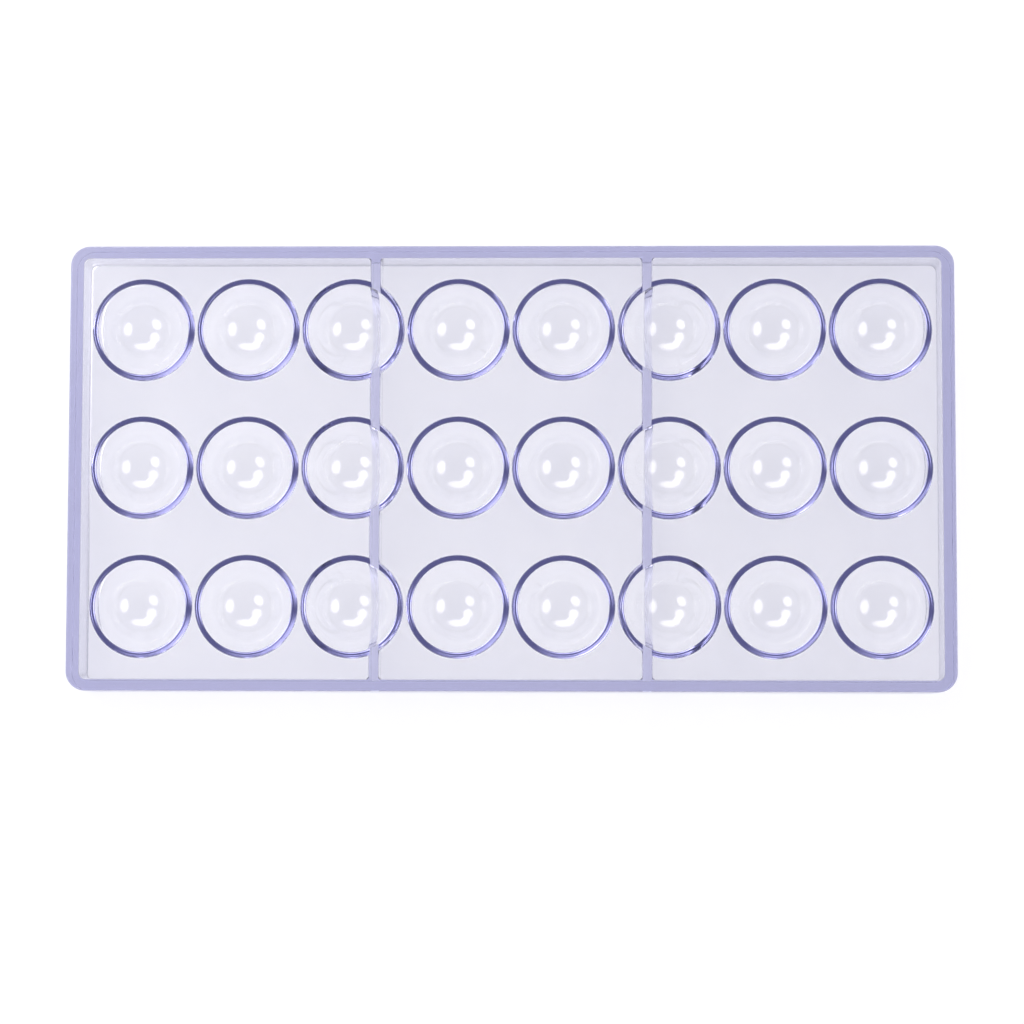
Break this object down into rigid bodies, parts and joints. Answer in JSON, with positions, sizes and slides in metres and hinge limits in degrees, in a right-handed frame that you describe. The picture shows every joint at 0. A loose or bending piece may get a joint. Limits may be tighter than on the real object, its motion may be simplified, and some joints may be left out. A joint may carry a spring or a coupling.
{
  "type": "chocolate mould",
  "caption": "Clear one-piece tray mould with three rows of eight half-round cavities, a skirt and two cross ribs, standing on its rim.",
  "frame": {"origin": "centre of the rim, which the mould stands on at z = 0", "axes": "+X along the length, +Y across the width, +Z from the rim up to the pouring face"},
  "size_m": [0.275, 0.1384, 0.024],
  "materials": {
    "clear_plastic": "clear injection-moulded plastic with a faint lilac tint, polished all over"
  },
  "bodies": {
    "root": {"mould_body": "clear_plastic"}
  },
  "joints": []
}
